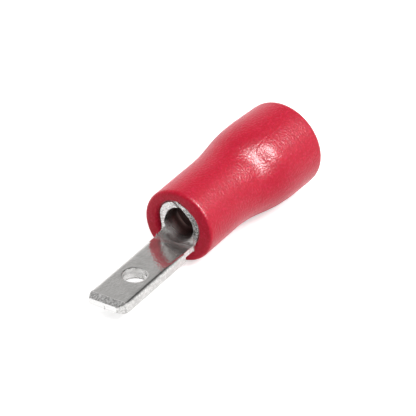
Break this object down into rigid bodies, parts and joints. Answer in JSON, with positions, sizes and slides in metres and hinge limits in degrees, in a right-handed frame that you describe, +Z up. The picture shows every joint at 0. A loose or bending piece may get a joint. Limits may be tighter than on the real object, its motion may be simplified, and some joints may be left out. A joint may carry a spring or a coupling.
{
  "type": "insulated male spade terminal",
  "caption": "Crimp terminal with a flat male tab, a rolled wire barrel and a soft sleeve that flares at the wire entry.",
  "frame": {"origin": "on the axis of the wire barrel, half way along the barrel, where it is crimped", "axes": "+X along the barrel towards the tip of the tab, +Z up from the tab's flat face to the barrel's seam, +Y across the tab"},
  "size_m": [0.0201, 0.0062, 0.0061],
  "materials": {
    "tinned_metal": "tin plated, satin, with bright cut and folded edges",
    "vinyl": "red soft vinyl with a fine orange-peel skin"
  },
  "bodies": {
    "root": {"terminal": "tinned_metal", "sleeve": "vinyl"}
  },
  "joints": []
}
